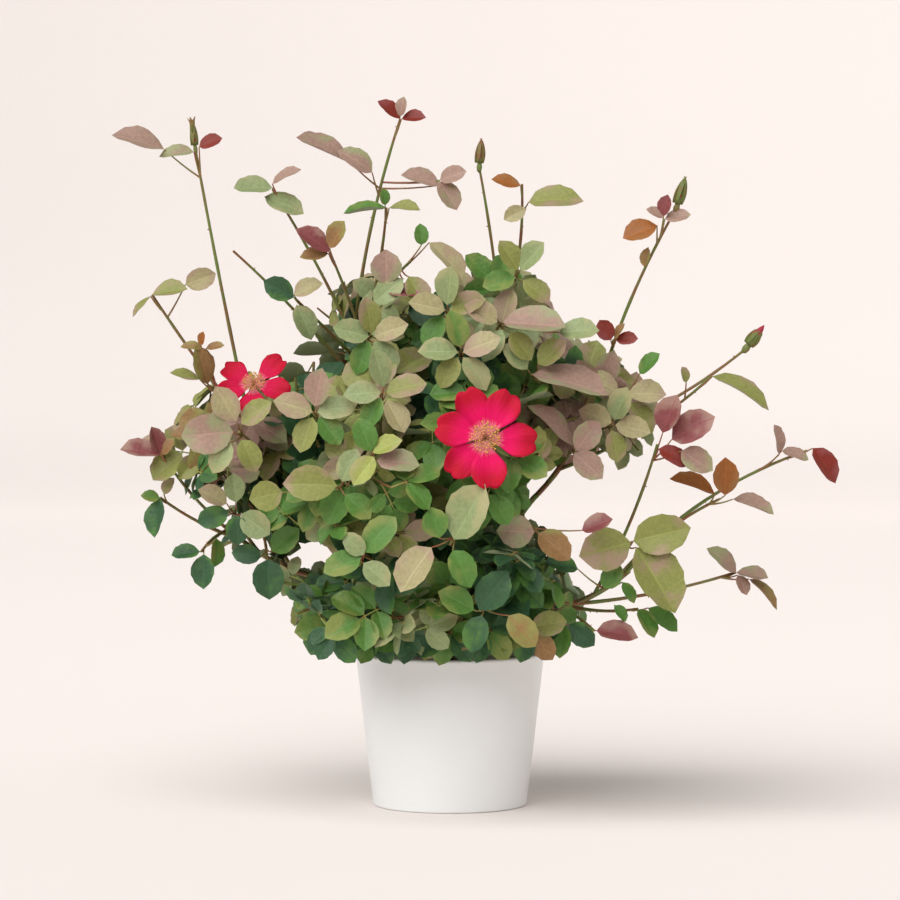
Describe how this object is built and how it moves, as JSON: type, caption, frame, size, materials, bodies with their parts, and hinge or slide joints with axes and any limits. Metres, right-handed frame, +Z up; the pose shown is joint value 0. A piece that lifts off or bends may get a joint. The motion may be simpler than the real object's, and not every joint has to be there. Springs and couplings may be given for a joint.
{
  "type": "rose bush",
  "caption": "Leafy rose bush with long arching shoots and single crimson blooms, standing in a plain white tapered pot.",
  "frame": {"origin": "centre of the pot's flat underside", "axes": "+Z up, -Y towards the front of the bush, +X to the right as seen from the front"},
  "size_m": [0.5661, 0.3455, 0.5625],
  "materials": {
    "pot": "smooth white, satin glaze",
    "soil": "damp dark potting compost",
    "bark": "green to brown rose bark",
    "green": "leathery green leaves",
    "olive": "leathery grey-olive leaves",
    "bronze": "young bronze leaves",
    "petal": "velvety crimson petals"
  },
  "bodies": {
    "root": {"pot": "pot", "soil": "soil", "stem": "bark", "cane_top_left": "bark", "cane_top_right": "bark", "cane_high_left": "bark", "cane_low_left": "bark", "cane_front_left": "bark", "cane_front_right": "bark", "cane_high_right": "bark", "cane_low_right": "bark", "cane_skirt_left": "bark", "cane_skirt_right": "bark", "cane_back_left": "bark", "cane_back_right": "bark", "cane_skirt_back_left": "bark", "cane_skirt_back_right": "bark", "leaves_top_left": "olive", "leaves_top_right": "olive", "leaves_high_left": "bronze", "leaves_low_left": "green", "leaves_front_left": "olive", "leaves_front_right": "green", "leaves_high_right": "olive", "leaves_low_right": "olive", "leaves_skirt_left": "green", "leaves_skirt_right": "green", "leaves_back_left": "olive", "leaves_back_right": "olive", "leaves_skirt_back_left": "green", "leaves_skirt_back_right": "green", "bloom_front": "petal", "bloom_left": "petal"}
  },
  "joints": []
}
